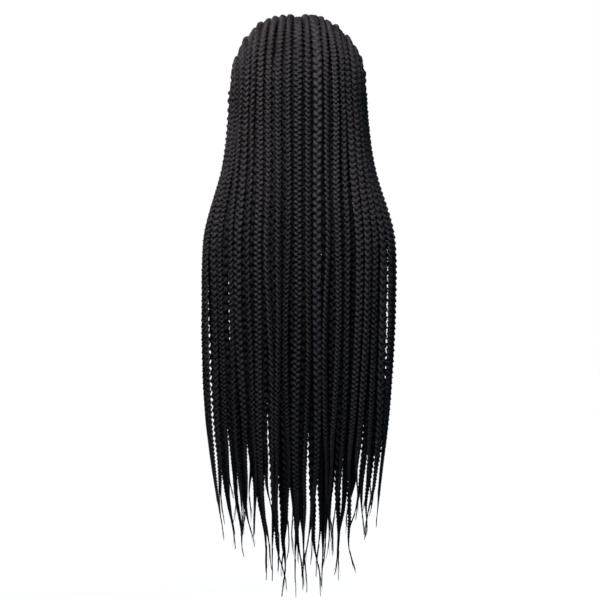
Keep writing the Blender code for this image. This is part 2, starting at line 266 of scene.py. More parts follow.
def fall_point(layer, share, level):
    """Point and outward direction on a layer of the fall. share is -1 to 1 across it."""
    inset = layer.inset * LAYER_PITCH * (1 - INSET_TAPER * level)
    spread = read(FALL, "spread", level)
    half_width = HAIR_HALF_WIDTH + (FALL_HALF_WIDTH - HAIR_HALF_WIDTH) * spread
    back = HAIR_BACK + SHOULDER_PUSH * read(FALL, "push", level)
    centre = HAIR_BACK * read(FALL, "centre", level)
    sweep = math.radians(read(FALL, "sweep_deg", level)) * layer.reach
    width, depth = half_width - inset, back - centre - inset
    turns = np.linspace(0, sweep, SWEEP_POINTS)
    steps = np.hypot(np.diff(width * np.sin(turns)), np.diff(depth * np.cos(turns)))
    along = np.concatenate([[0], np.cumsum(steps)])
    turn = math.copysign(np.interp(abs(share) * along[-1], along, turns), share)
    z = -DOME_HEIGHT - (FALL_DROP - DOME_HEIGHT) * level
    point = np.array([width * math.sin(turn), centre + depth * math.cos(turn), z])
    normal = np.array([math.sin(turn) / width, math.cos(turn) / depth, 0.0])
    return point, normal / np.linalg.norm(normal)


def outer_root(number):
    """Direction to an outer braid's root, counted out from the middle of the back."""
    count = abs(number)
    if count > PARTING_ROOTS:
        step = (HAIRLINE_FRONT_DEG - HAIRLINE_SIDE_DEG) / (HAIRLINE_ROOTS - 1)
        angle = math.radians(HAIRLINE_FRONT_DEG - (count - PARTING_ROOTS - 1) * step)
        polar = rim_polar(angle) - ROOT_MARGIN / DOME_HEIGHT
        return on_cap(math.copysign(angle, number), polar)
    if count:
        x = math.copysign(PARTING_HALF_GAP, number)
        y = PARTING_FIRST - (count - 1) * PARTING_STEP
    else:
        x, y = 0.0, PARTING_BACK
    q = np.array([x / CAP_RADII[0], y / CAP_RADII[1]])
    return np.array([q[0], q[1], math.sqrt(1 - q @ q)])


def root_of(layer, number, share):
    """Direction to a braid's root on the cap."""
    if layer.root_drop is None:
        return outer_root(number)
    angle = math.radians(layer.root_sweep_deg) * share
    drop = layer.root_drop + (layer.side_root_drop - layer.root_drop) * smooth(abs(share))
    return on_cap(angle, math.acos(1 - drop))


def layer_rise(layer, polar):
    """How far a layer stands off the cap at a polar angle, over a braid that lies on it."""
    top = max(0.0, HAIR_LIFT - layer.inset * LAYER_PITCH - CROWN_LIFT)
    start, end = INNER_RISE_DEG if layer.inset else OUTER_RISE_DEG
    return top * smooth((math.degrees(polar) - start) / (end - start))


def root_size(travelled):
    """Size of a braid at a distance from its root, as a share of its full size."""
    return ROOT_SHARE + (1 - ROOT_SHARE) * smooth(travelled / ROOT_TAPER)


def lane_of(direction):
    """(sideways, back) angles of a direction: out from the parting, and over from the crown."""
    return math.asin(direction[0]), math.atan2(direction[1], direction[2])


def outer_route(number, root, end):
    """Directions of an outer braid: off the parting, then back along its own lane.

    The lower a braid's root is on the hairline, the more directly it goes to its landing.
    """
    count = abs(number)
    (out_root, back_root), (out_end, back_end) = lane_of(abs_x(root)), lane_of(abs_x(end))
    lane = math.radians(LANE_DEG * count)
    turn = LANE_TURN if count <= PARTING_ROOTS else HAIRLINE_TURN
    shortcut = TEMPLE_SHORTCUT * smooth((count - PARTING_ROOTS - 1) / (HAIRLINE_ROOTS - 1))
    route = []
    for t, straight in zip(np.linspace(0, 1, HEAD_POINTS), straight_route(root, end)):
        back = back_root + (back_end - back_root) * t
        along_lane = lane + (out_end - lane) * smooth(back / back_end)
        turning = out_root + turn * (back - back_root)
        rounding = LANE_ROUND * abs(along_lane - out_root)
        out = (turning + along_lane - math.hypot(turning - along_lane, rounding)) / 2
        start = (out_root + along_lane - math.hypot(out_root - along_lane, rounding)) / 2
        out += (out_root - start) * (1 - smooth(t / LANE_ENDS))
        out += (out_end - out) * smooth((t - 1 + LANE_ENDS) / LANE_ENDS)
        lane_way = np.array(
            [
                math.copysign(math.sin(out), number),
                math.cos(out) * math.sin(back),
                math.cos(out) * math.cos(back),
            ]
        )
        mixed = lane_way + (straight - lane_way) * shortcut
        route.append(mixed / np.linalg.norm(mixed))
    return route


def abs_x(direction):
    """The same direction on the +X side."""
    return np.array([abs(direction[0]), direction[1], direction[2]])


def straight_route(root, end):
    """Directions on the shortest way from a root to the landing."""
    turn = math.acos(min(1.0, float(root @ end)))
    return [
        (root * math.sin((1 - t) * turn) + end * math.sin(t * turn)) / math.sin(turn)
        for t in np.linspace(0, 1, HEAD_POINTS)
    ]


def head_part(layer, number, root, landing):
    """Centre line and outward directions from a root, over the cap, to the landing point."""
    end, end_height = height_over_cap(landing)
    if layer.inset == 0:
        route = outer_route(number, root, end)
    else:
        route = straight_route(root, end)
    end_error = end_height - CROWN_LIFT - layer_rise(layer, math.acos(end[2]))
    travelled = 0.0
    points, normals = [], []
    for t, direction in zip(np.linspace(0, 1, HEAD_POINTS), route):
        if points:
            travelled += DOME_HEIGHT * np.linalg.norm(direction - before)
        before = direction
        seat = SEAT_GAP + BRAID_THICKNESS / 2 * root_size(travelled)
        seat += CROWN_CLEARANCE * smooth(travelled / HEAD_STEP)
        rise = layer_rise(layer, math.acos(direction[2])) * smooth(travelled / ROOT_RISE)
        points.append(over_cap(direction, seat + rise + end_error * smooth(t)))
        normals.append(cap_normal(direction))
    return points, normals


def relaxed(points, passes):
    """Rounds the bends of a line, with its first points and its end held."""
    points = np.array(points)
    for _ in range(passes):
        middle = (points[RELAX_HELD - 1 : -2] + points[RELAX_HELD + 1 :]) / 2
        points[RELAX_HELD:-1] += RELAX_SHARE * (middle - points[RELAX_HELD:-1])
    return points


def braid_line(layer, number, share):
    """Dense centre line of one braid and its outward directions."""
    salt = layer.inset * 100 + number
    sideways = smooth((abs(share) - SIDE_LANDING) / (1 - SIDE_LANDING))
    landing_level = layer.landing + (layer.side_landing - layer.landing) * sideways
    landing, _ = fall_point(layer, share, landing_level)
    points, normals = head_part(layer, number, root_of(layer, number, share), landing)
    across = abs(fall_point(layer, share, TIP_PLAN)[0][0]) / FALL_HALF_WIDTH
    tip_level = read(TIPS, "level", across)
    tip_level -= TIP_SCATTER * scatter(salt, 1) ** TIP_SCATTER_POWER
    for level in np.linspace(landing_level, tip_level, FALL_POINTS)[1:]:
        down = (level - landing_level) / (1 - landing_level)
        point, normal = fall_point(layer, share, level)
        side = np.array([normal[1], -normal[0], 0.0])
        waves = down * (WANDER_WAVES + scatter(salt, 2))
        swing = math.sin(WANDER_TURN * (waves + scatter(salt, 3)))
        depth_waves = down * WANDER_DEPTH_WAVES
        depth_swing = WANDER_DEPTH * math.sin(WANDER_TURN * (depth_waves + scatter(salt, 4)))
        points.append(point + (side * swing + normal * depth_swing) * WANDER * down)
        normals.append(normal)
    return relaxed(points, RELAX_PASSES), relaxed(normals, RELAX_PASSES)


# Plaits. A plait has three strands that take turns to cross over from the side to the
# middle. pitch: length of one full turn, as a share of the plait's width.
STRANDS = 3
FLAT_PITCH = 2.20
TURNED_PITCH = 2.60
PITCH_SPREAD = 0.12  # from one plait to the next
PITCH_JITTER = 0.05  # along a plait
STRAND_SWING = 0.222  # sideways swing of a strand's centre line, as a share of the width
STRAND_WIDTH = 0.298  # half width of a strand, as a share of the plait's width
STRAND_LIFT = 0.225  # its swing outwards, as a share of the plait's thickness
STRAND_DEPTH = 0.365  # half depth of a strand, as a share of the plait's thickness
LOBE_SWELL = 0.10  # how much a strand swells where it lies on top
STRAND_SWELL = 0.05  # how much it swells and thins over a few turns
STRAND_SWELL_RATE = 0.37  # in waves for each turn
STRAND_SWELL_START = 5  # most that one strand's swell starts ahead of another's, radians
STRAND_SIDES = {"outer": 8, "middle": 6, "nape": 6}
RINGS_PER_TURN = {"outer": (12, 9), "middle": (10, 8), "nape": (8, 7)}  # wide, thin
FINE_STEP = 0.0012  # from one point of a plait's route to the next
SMOOTHING = 9  # points of the route that are averaged

# How far a plait is turned. Every other outer plait shows its edge.
TURNED = 1.05  # turn of a plait that shows its edge, radians
TWIST = 0.26  # slow turn to and fro along a plait, radians
TURNED_LEAST = 0.8  # turn of an edge-on plait, as a share of TURNED
FLAT_MOST = 0.15  # turn of a flat one, as a share of TURNED
SWAP_ABOVE = 0.86  # a draw over this swaps flat and edge-on
FLAT_FROM = 7  # outer plaits past this one, counted from the middle, lie flat

# Size of a plait against its solid. along: share of its length. outer: for the outer
# layer. inner: for the layers below it, which fill what shows between the outer ones. The
# width follows these, and the thickness their square root.
Fullness = namedtuple("Fullness", "along outer inner")
FULLNESS = [
    Fullness(0.00, 1.20, 1.08),
    Fullness(0.08, 1.18, 1.08),
    Fullness(0.17, 0.95, 1.12),
    Fullness(0.26, 0.90, 1.28),
    Fullness(0.40, 1.02, 1.50),
    Fullness(0.60, 1.16, 1.68),
    Fullness(0.78, 1.26, 1.74),
    Fullness(0.87, 1.06, 1.25),
    Fullness(0.93, 0.88, 0.85),
    Fullness(1.00, 0.80, 0.80),
]
FLAT_WIDTH = 1.04
TURNED_WIDTH = 0.92
WIDTH_SPREAD = 0.19  # from one plait to the next
WIDTH_JITTER = 0.05  # along a plait
SIDE_PLAITS = 5  # outer plaits from this one outwards, counted from the middle, are fuller
SIDE_WIDTH = 1.29  # on the head
SIDE_END = 0.14  # share of their length where this begins to fade
SIDE_RUN = 0.08  # share of their length over which it fades

# Sway of a plait about its solid's line. The starts and runs are shares of its length.
SIDE_WANDER = 0.0030  # sideways, in the fall
HANG_START = 0.25
HANG_RUN = 0.30
SIDE_CALM = 0.65  # how much less the outermost plaits sway
CALM_START = 0.6  # where this begins, as a share of the way from the middle to the side
CALM_RUN = 0.3
DEPTH_WANDER = 0.0022  # how far it comes forward or lies back
DEPTH_RUN = 0.15
TIP_BEND = 0.014  # the most that its tip bends to one side
TIP_SWAY = 0.0030  # how far its last stretch swings to and fro
TIP_WAVES = (0.8, 1.7)  # fewest and most swings
LOOSE_START = 0.80

# Slow wander along a braid: waves, each shorter and fainter than the last
DRIFT_RATE = 0.8  # first wave's turns over the braid's length. The others have more.
DRIFT_FADING = 0.7  # power of its number that a wave is divided by
DRIFT_SIZE = 1.6  # what keeps the sum between about -1 and 1

# Where a plait ends: its strands draw together and grow thin, and loose hair begins.
TAIL_SHARE = 0.952
CLOSING = 0.75  # how much less the strands swing at the end
CLOSING_RUN = 0.05
SLIMMING = 0.45  # how much thinner they are at the end
SLIMMING_RUN = 0.04

# Loose hair at the tip. The core is the hairs that stay together down to the tip.
TAIL_HAIRS = 9
TAIL_CORE = 3
TAIL_POINTS = 7
TAIL_OVERLAP = 0.006  # how far up inside the plait the hairs start
TAIL_ROOT_WIDTH = 0.0016  # width of the row that they start in
TAIL_HAIR_RADIUS = 0.00036
CORE_RADIUS = 2.1  # radius of a core hair, as a share of TAIL_HAIR_RADIUS
TAIL_TAPER = 0.38
TAIL_HAIR_SIDES = 4
TAIL_REACH = (0.85, 1.0)  # shortest and longest, as shares of the tail
STRAY_REACH = (0.45, 0.95)  # the same for hairs outside the core, times the above
TAIL_SPREAD = 0.0050
CORE_SPREAD = 0.16  # as a share of TAIL_SPREAD
TAIL_LIFT = 0.5  # spread outwards, as a share of the spread sideways
TAIL_CURVE = 1.6  # power of the length that the spread follows
TAIL_DROP = 0.012  # how much longer the middle tails are, and how much shorter the outermost

# Loose hairs along the plait
FLYAWAYS = 26
FLYAWAY_RADIUS = 0.00011
FLYAWAY_TAPER = 0.4
FLYAWAY_SIDES = 3
FLYAWAY_POINTS = 5
FLYAWAY_PLACES = (0.06, 0.94)  # first and last, as shares of the plait's length
FLYAWAY_REACH = (0.008, 0.020)
FLYAWAY_STAND = (0.10, 0.32)  # how far it stands off, as a share of its reach
FLYAWAY_OUT = (-0.6, 1.4)  # how far it leans out from the hair, against sideways
FLYAWAY_CURVE = 1.5
FLYAWAY_ROOT = 0.36  # where it starts, as a share of the plait's width
FLYAWAY_GAP = 0.12  # how far it lies off the plait, as a share of the plait's width
FLYAWAY_LOOK = 12  # points of the route over which its direction is taken

# Thin hairs
HAIR_ASIDE = (0.31, 0.87, 0.12)  # a direction that no hair runs along
HAIR_MAP_LENGTH = 0.02  # length of the fibre map that a hair covers


def fade_in(shares, start, run):
    """Rises from 0 to 1 over a stretch of a braid."""
    return np.clip((shares - start) / run, 0, 1)


def centred(number, salt):
    """A fixed value from -1 to 1 that looks random."""
    return 2 * scatter(number, salt) - 1


def between(ends, number, salt):
    """A fixed value between two ends that looks random."""
    return ends[0] + (ends[1] - ends[0]) * scatter(number, salt)


def one_way(number, salt):
    """1 or -1, fixed, and looks random."""
    return 1 if scatter(number, salt) > 0.5 else -1


def drift(shares, salt, waves):
    """A slow wander between about -1 and 1 along a braid."""
    total = np.zeros_like(shares)
    for k in range(1, waves + 1):
        phase = scatter(salt, 10 + k)
        total += np.sin(2 * math.pi * (shares * k * DRIFT_RATE + phase)) / k**DRIFT_FADING
    return total / DRIFT_SIZE


def at_lengths(places, lengths, values):
    """Numbers or points given at lengths along a line, at other places along it."""
    if values.ndim == 1:
        return np.interp(places, lengths, values)
    return np.stack([np.interp(places, lengths, column) for column in values.T], 1)


def fine_route(line, normals):
    """A braid's centre line at even steps: points, across, outward, travelled length."""
    steps = np.linalg.norm(np.diff(line, axis=0), axis=1)
    along = np.concatenate([[0], np.cumsum(steps)])
    travelled = np.linspace(0, along[-1], int(along[-1] / FINE_STEP))
    kernel = np.ones(SMOOTHING) / SMOOTHING
    half = SMOOTHING // 2

    def resampled(values):
        fine = at_lengths(travelled, along, values)
        start = 2 * fine[0] - fine[half:0:-1]
        end = 2 * fine[-1] - fine[-2 : -half - 2 : -1]
        padded = np.concatenate([start, fine, end])
        return np.stack([np.convolve(column, kernel, "valid") for column in padded.T], 1)

    points, outward = resampled(line), resampled(normals)
    tangents = np.gradient(points, travelled, axis=0)
    tangents /= np.linalg.norm(tangents, axis=1)[:, None]
    across = np.cross(tangents, outward)
    across /= np.linalg.norm(across, axis=1)[:, None]
    return points, across, np.cross(across, tangents), travelled


def edge_share(layer, place, salt):
    """How far a plait is turned edge-on: 0 for a flat one, 1 for one seen from its edge."""
    if layer.name != "outer":
        return scatter(salt, 14) ** 2
    turned = place % 2 == 0
    if scatter(salt, 13) > SWAP_ABOVE:
        turned = not turned
    if abs(place - (layer.count - 1) / 2) > FLAT_FROM:
        turned = False
    return between((TURNED_LEAST, 1.0) if turned else (0.0, FLAT_MOST), salt, 14)


def sway_of(side_share, salt, shares):
    """Offsets of a plait from its solid's line, sideways and outwards."""
    calm = 1 - SIDE_CALM * smooth((side_share - CALM_START) / CALM_RUN)
    hanging = fade_in(shares, HANG_START, HANG_RUN)
    sideways = SIDE_WANDER * calm * hanging * drift(shares, salt + 17, 3)
    loose = fade_in(shares, LOOSE_START, 1 - LOOSE_START)
    sideways += TIP_BEND * centred(salt, 21) * loose**2
    waves = between(TIP_WAVES, salt, 22)
    sideways += TIP_SWAY * loose * np.sin(2 * math.pi * (waves * loose + scatter(salt, 23)))
    outwards = DEPTH_WANDER * fade_in(shares, 0, DEPTH_RUN) * drift(shares, salt + 19, 2)
    return sideways, outwards


def plait_size(layer, number, salt, edge_on, travelled, shares):
    """Width and thickness of a plait along it."""
    jitter = FLAT_WIDTH + (TURNED_WIDTH - FLAT_WIDTH) * edge_on
    jitter *= 1 + WIDTH_SPREAD * centred(salt, 15)
    if layer.name == "outer" and abs(number) >= SIDE_PLAITS:
        jitter *= 1 + (SIDE_WIDTH - 1) * (1 - fade_in(shares, SIDE_END, SIDE_RUN))
    jitter *= 1 + WIDTH_JITTER * drift(shares, salt + 3, 3)
    column = "outer" if layer.name == "outer" else "inner"
    fullness = np.array([read(FULLNESS, column, s) for s in shares])
    size = np.array([root_size(s) for s in travelled])
    widths = np.array([read(BRAID, "width", s) for s in shares])
    depths = np.array([read(BRAID, "thickness", s) for s in shares])
    width = BRAID_WIDTH * size * widths * jitter * fullness
    return width, BRAID_THICKNESS * size * depths * np.sqrt(fullness)


def strand_turn(salt, edge_on, travelled, shares, width):
    """Angle that the strands of a plait have turned, along it."""
    pitch = FLAT_PITCH + (TURNED_PITCH - FLAT_PITCH) * edge_on
    pitch = pitch * width * (1 + PITCH_SPREAD * centred(salt, 5))
    pitch *= 1 + PITCH_JITTER * drift(shares, salt + 7, 4)
    turns = np.concatenate([[0], np.cumsum(np.diff(travelled) / pitch[1:])])
    return 2 * math.pi * turns + 2 * math.pi * scatter(salt, 6)


Plait = namedtuple(
    "Plait",
    "layer place side_share salt edge_on points across outward travelled shares width depth turn",
)


def plait_of(layer, place):
    """Route, directions, sizes and turns of one braid's plait."""
    half = (layer.count - 1) / 2
    number = place - half
    salt = layer.inset * 100 + number
    line, normals = braid_line(layer, number, number / half)
    points, across, outward, travelled = fine_route(line, normals)
    shares = travelled / travelled[-1]
    side_share = abs(number) / half
    sideways, outwards = sway_of(side_share, salt, shares)
    points = points + across * sideways[:, None] + outward * outwards[:, None]
    edge_on = edge_share(layer, place, salt)
    width, depth = plait_size(layer, number, salt, edge_on, travelled, shares)
    turn = strand_turn(salt, edge_on, travelled, shares, width)
    return Plait(
        layer,
        place,
        side_share,
        salt,
        edge_on,
        points,
        across,
        outward,
        travelled,
        shares,
        width,
        depth,
        turn,
    )


class MeshParts:
    """Collects tubes for one mesh, with the fibre map of each face corner."""

    def __init__(self):
        self.points, self.faces, self.corners = [], [], []
        self.count = 0

    def add_tube(self, rings, lengths, shift):
        """rings: ring by side by axis. lengths: travelled length at each ring."""
        ring_count, sides = rings.shape[:2]
        base = self.count + np.arange(ring_count * sides).reshape(ring_count, sides)
        upper, lower = base[:-1], base[1:]
        quads = np.stack(
            [upper, np.roll(upper, -1, 1), np.roll(lower, -1, 1), lower], 2
        ).reshape(-1, 4)
        side = np.arange(sides) / sides
        u0 = np.broadcast_to(side + shift, (ring_count - 1, sides))
        v0 = np.broadcast_to(lengths[:-1, None], u0.shape)
        v1 = np.broadcast_to(lengths[1:, None], u0.shape)
        step = 1 / sides
        corners = np.stack([u0, v0, u0 + step, v0, u0 + step, v1, u0, v1], 2)
        self.points.append(rings.reshape(-1, 3))
        self.faces += quads.tolist()
        self.corners.append(corners.reshape(-1))
        for ring, turned, length in ((base[0], True, lengths[0]), (base[-1], False, lengths[-1])):
            order = ring[::-1] if turned else ring
            self.faces.append(order.tolist())
            self.corners.append(np.tile([shift, length], sides))
        self.count += ring_count * sides

    def mesh(self, name):
        """The tubes as one smooth mesh."""
        made = bpy.data.meshes.new(name)
        made.from_pydata(np.concatenate(self.points), [], self.faces)
        fibre = made.uv_layers.new(name="fibre")
        fibre.data.foreach_set("uv", np.concatenate(self.corners).astype(np.float32))
        made.shade_smooth()
        made.update()
        return made


def ring_places(plait, end):
    """Lengths at which the strands have a ring: as many to a turn as the plait is wide."""
    wide_rings, thin_rings = RINGS_PER_TURN[plait.layer.name]
    wide = np.clip(plait.width / BRAID_WIDTH, 0, 1)
    density = thin_rings + (wide_rings - thin_rings) * wide
    rings = np.diff(plait.turn) / (2 * math.pi) * density[1:]
    counted = np.concatenate([[0], np.cumsum(rings)])
    last = np.interp(end, plait.travelled, counted)
    return np.interp(np.linspace(0, last, int(last) + 1), counted, plait.travelled)


def add_strands(parts, plait, end):
    """The strands of a plait, from its root to the length where its tail begins."""
    twist = one_way(plait.salt, 12) * TURNED * plait.edge_on
    twist = twist + TWIST * drift(plait.shares, plait.salt + 11, 2)
    cosine, sine = np.cos(twist)[:, None], np.sin(twist)[:, None]
    places = ring_places(plait, end)

    def at(values):
        return at_lengths(places, plait.travelled, values)

    centre, width, depth, turn = at(plait.points), at(plait.width), at(plait.depth), at(plait.turn)
    side_way = at(plait.across * cosine + plait.outward * sine)
    out_way = at(plait.outward * cosine - plait.across * sine)
    shares = places / plait.travelled[-1]
    closing = 1 - CLOSING * fade_in(shares, TAIL_SHARE - CLOSING_RUN, CLOSING_RUN)
    slim = 1 - SLIMMING * fade_in(shares, TAIL_SHARE - SLIMMING_RUN, SLIMMING_RUN)
    sides = STRAND_SIDES[plait.layer.name]
    angles = 2 * math.pi * np.arange(sides) / sides - math.pi / 2
    for strand in range(STRANDS):
        theta = turn + 2 * math.pi * strand / STRANDS
        swing = STRAND_SWING * width * np.sin(theta) * closing
        lift = -STRAND_LIFT * depth * np.sin(2 * theta) * closing
        swell = 1 - LOBE_SWELL * np.cos(4 * theta)
        start = STRAND_SWELL_START * scatter(plait.salt, 50 + strand)
        swell += STRAND_SWELL * np.sin(STRAND_SWELL_RATE * theta + start)
        half_width = (STRAND_WIDTH * width * swell * slim)[:, None]
        half_depth = (STRAND_DEPTH * depth * swell * slim)[:, None]
        sideways = swing[:, None] + half_width * np.cos(angles)
        outwards = lift[:, None] + half_depth * np.sin(angles)
        rings = (
            centre[:, None]
            + side_way[:, None] * sideways[:, :, None]
            + out_way[:, None] * outwards[:, :, None]
        )
        parts.add_tube(rings, places, strand + STRANDS * plait.place)


def hair_tube(parts, path, radius, taper, sides, length, shift):
    """A thin hair along a path. taper: its radius at the end, as a share of radius."""
    tangent = np.gradient(path, axis=0)
    tangent /= np.linalg.norm(tangent, axis=1)[:, None]
    other = np.cross(tangent, HAIR_ASIDE)
    other /= np.linalg.norm(other, axis=1)[:, None]
    third = np.cross(tangent, other)
    size = radius * np.linspace(1, taper, len(path))[:, None, None]
    turns = -2 * math.pi * np.arange(sides) / sides
    ring = other[:, None] * np.cos(turns)[:, None] + third[:, None] * np.sin(turns)[:, None]
    lengths = length + np.linspace(0, HAIR_MAP_LENGTH, len(path))
    parts.add_tube(path[:, None] + ring * size, lengths, shift)


def add_tail(parts, plait, end):
    """Loose hair at a plait's tip: a core that stays together, and hairs that stray.

    What hair is multiplied by in a draw only tells the hairs apart.
    """
    rest = np.linspace(end - TAIL_OVERLAP, plait.travelled[-1], TAIL_POINTS)
    tail = at_lengths(rest, plait.travelled, plait.points)
    outward = at_lengths(rest, plait.travelled, plait.outward)
    across = at_lengths(rest, plait.travelled, plait.across)
    run = np.linspace(0, 1, TAIL_POINTS)
    tail[:, 2] -= TAIL_DROP * (1 - 2 * plait.side_share) * run
    for hair in range(TAIL_HAIRS):
        core = hair < TAIL_CORE
        reach = between(TAIL_REACH, plait.salt + hair * 0.37, 31)
        reach *= 1.0 if core else between(STRAY_REACH, plait.salt + hair * 0.77, 34)
        spread = TAIL_SPREAD * (CORE_SPREAD if core else 1.0)
        lean = spread * centred(plait.salt + hair * 0.71, 32)
        lift = spread * TAIL_LIFT * centred(plait.salt + hair * 0.53, 33)
        short = run * reach
        curve = short**TAIL_CURVE
        path = at_lengths(short, run, tail)
        path += across * (lean * curve)[:, None] + outward * (lift * curve)[:, None]
        start = (hair / TAIL_HAIRS - 0.5) * TAIL_ROOT_WIDTH
        path += across * (start * (1 - run))[:, None]
        radius = TAIL_HAIR_RADIUS * (CORE_RADIUS if core else 1.0)
        hair_tube(parts, path, radius, TAIL_TAPER, TAIL_HAIR_SIDES, end, hair)


def add_flyaways(parts, plait):
    """Single hairs that stand off along a plait."""
    points, length = plait.points, plait.travelled[-1]
    run = np.linspace(0, 1, FLYAWAY_POINTS)[:, None]
    for hair in range(FLYAWAYS):
        at_length = between(FLYAWAY_PLACES, plait.salt + hair * 0.91, 41) * length
        k = int(np.searchsorted(plait.travelled, at_length))
        seed = plait.salt + hair
        aside = plait.across[k] * one_way(seed, 42)
        forward = points[min(k + FLYAWAY_LOOK, len(points) - 1)] - points[k]
        forward /= np.linalg.norm(forward)
        out = aside + plait.outward[k] * between(FLYAWAY_OUT, seed, 43)
        out /= np.linalg.norm(out)
        reach = between(FLYAWAY_REACH, seed, 44)
        stand = between(FLYAWAY_STAND, seed, 45)
        start = points[k] + plait.width[k] * (aside * FLYAWAY_ROOT + out * FLYAWAY_GAP)
        path = start + forward * reach * run + out * reach * stand * run**FLYAWAY_CURVE
        hair_tube(parts, path, FLYAWAY_RADIUS, FLYAWAY_TAPER, FLYAWAY_SIDES, at_length, hair)


def add_plait(layer, place):
    """One braid as a three-strand plait, with a loose tail and a few loose hairs."""
    plait = plait_of(layer, place)
    end = TAIL_SHARE * plait.travelled[-1]
    parts = MeshParts()
    add_strands(parts, plait, end)
    add_tail(parts, plait, end)
    add_flyaways(parts, plait)
    thing = bpy.data.objects.new(f"plait_{layer.name}_{place + 1:02d}", parts.mesh("plait"))
    bpy.context.scene.collection.objects.link(thing)
    # Braids under the outer layer take the inner tone: painted shade, darker than the outer hair.
    thing.data.materials.append(hair_material("fibres" if layer.name == "outer" else "inner"))
    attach(thing, "root")
    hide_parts(f"braid_{layer.name}_{place + 1:02d}")


def shader_of(name):
    """A new material, its nodes and its links."""
    made = bpy.data.materials.new(name)
    made.use_nodes = True
    return made, made.node_tree.nodes, made.node_tree.links


# Hair colours. low and high: ends of the streaks of tone along a strand. specular: its sheen.
# The inner tone is the same hair painted darker and less glossy. It is painted shade for the
# braids under the outer layer, which show in the valleys between the outer ones.
HairTone = namedtuple("HairTone", "low high specular")
HAIR_TONES = {
    "fibres": HairTone((0.0080, 0.0079, 0.0102), (0.0258, 0.0224, 0.0262), 0.45),
    "inner": HairTone((0.0033, 0.0034, 0.0044), (0.0113, 0.0104, 0.0128), 0.28),
}

# Tints that tell one plait from the next. position: on the ramp that a plait's random value
# reads. factors: what the colour is multiplied by.
Tint = namedtuple("Tint", "position factors")
PLAIT_TINTS = [
    Tint(0.00, (1.16, 1.06, 0.98)),
    Tint(0.25, (0.58, 0.62, 0.66)),
    Tint(0.50, (1.00, 0.98, 1.12)),
    Tint(0.75, (1.48, 1.36, 1.32)),
    Tint(1.00, (0.78, 0.82, 0.90)),
]


def plait_tint(nodes, links, colour):
    """Multiplies a colour by the tint of the plait."""
    which = nodes.new("ShaderNodeObjectInfo")
    tint = nodes.new("ShaderNodeValToRGB")
    ramp = tint.color_ramp.elements
    while len(ramp) < len(PLAIT_TINTS):
        ramp.new(0.5)
    for stop, row in zip(ramp, PLAIT_TINTS):
        stop.position = row.position
        stop.color = (*row.factors, 1.0)
    links.new(which.outputs["Random"], tint.inputs["Fac"])
    mix = nodes.new("ShaderNodeMix")
    mix.data_type = "RGBA"
    mix.blend_type = "MULTIPLY"
    mix.inputs["Factor"].default_value = 1.0
    links.new(colour, mix.inputs["A"])
    links.new(tint.outputs["Color"], mix.inputs["B"])
    return mix.outputs["Result"]


def two_tone(nodes, links, value, stretch, low, high):
    """A ramp from one colour to another over a stretch of a value."""
    colour = nodes.new("ShaderNodeValToRGB")
    first, last = colour.color_ramp.elements
    first.position, last.position = stretch
    first.color, last.color = (*low, 1.0), (*high, 1.0)
    links.new(value, colour.inputs["Fac"])
    return colour.outputs["Color"]


def noise_along(nodes, links, place, scale, detail, roughness):
    """Noise over a map, stretched by a scale for each axis."""
    stretch = nodes.new("ShaderNodeMapping")
    stretch.inputs["Scale"].default_value = scale
    links.new(place, stretch.inputs["Vector"])
    noise = nodes.new("ShaderNodeTexNoise")
    noise.inputs["Scale"].default_value = 1.0
    noise.inputs["Detail"].default_value = detail
    noise.inputs["Roughness"].default_value = roughness
    links.new(stretch.outputs["Vector"], noise.inputs["Vector"])
    return noise.outputs["Fac"]


def add_bump(nodes, links, height, strength, distance):
    """Fine relief on the material's shader."""
    bump = nodes.new("ShaderNodeBump")
    bump.inputs["Strength"].default_value = strength
    bump.inputs["Distance"].default_value = distance
    links.new(height, bump.inputs["Height"])
    links.new(bump.outputs["Normal"], nodes["Principled BSDF"].inputs["Normal"])


def add_roughness(nodes, links, value, stretch, ends):
    """Roughness of the material's shader, from end to end over a stretch of a value."""
    rough = nodes.new("ShaderNodeMapRange")
    rough.inputs["From Min"].default_value, rough.inputs["From Max"].default_value = stretch
    rough.inputs["To Min"].default_value, rough.inputs["To Max"].default_value = ends
    links.new(value, rough.inputs["Value"])
    links.new(rough.outputs["Result"], nodes["Principled BSDF"].inputs["Roughness"])


def hair_material(kind):
    """Black synthetic hair: fine fibres along each strand, a soft sheen. The inner kind is painted
    darker, as painted shade on the braids under the outer layer.
    """
    made = bpy.data.materials.get("hair_" + kind)
    if made:
        return made
    made, nodes, links = shader_of("hair_" + kind)
    hair = HAIR_TONES[kind]
    shader = nodes["Principled BSDF"]
    shader.inputs["Specular IOR Level"].default_value = hair.specular
    shader.inputs["Anisotropic"].default_value = 0.55
    round_strand = nodes.new("ShaderNodeTangent")
    round_strand.direction_type = "UV_MAP"
    round_strand.uv_map = "fibre"
    links.new(round_strand.outputs["Tangent"], shader.inputs["Tangent"])

    fibre = nodes.new("ShaderNodeUVMap")
    fibre.uv_map = "fibre"
    place = fibre.outputs["UV"]
    fine = noise_along(nodes, links, place, (26.0, 45.0, 1.0), detail=4.0, roughness=0.65)
    tone = noise_along(nodes, links, place, (5.0, 30.0, 1.0), detail=2.0, roughness=0.5)
    streaks = nodes.new("ShaderNodeMix")
    streaks.inputs["Factor"].default_value = 0.5
    links.new(tone, streaks.inputs["A"])
    links.new(fine, streaks.inputs["B"])
    colour = two_tone(nodes, links, streaks.outputs["Result"], (0.36, 0.64), hair.low, hair.high)
    links.new(plait_tint(nodes, links, colour), shader.inputs["Base Color"])
    add_roughness(nodes, links, fine, stretch=(0.3, 0.7), ends=(0.50, 0.70))
    add_bump(nodes, links, fine, strength=1.0, distance=0.0009)
    return made


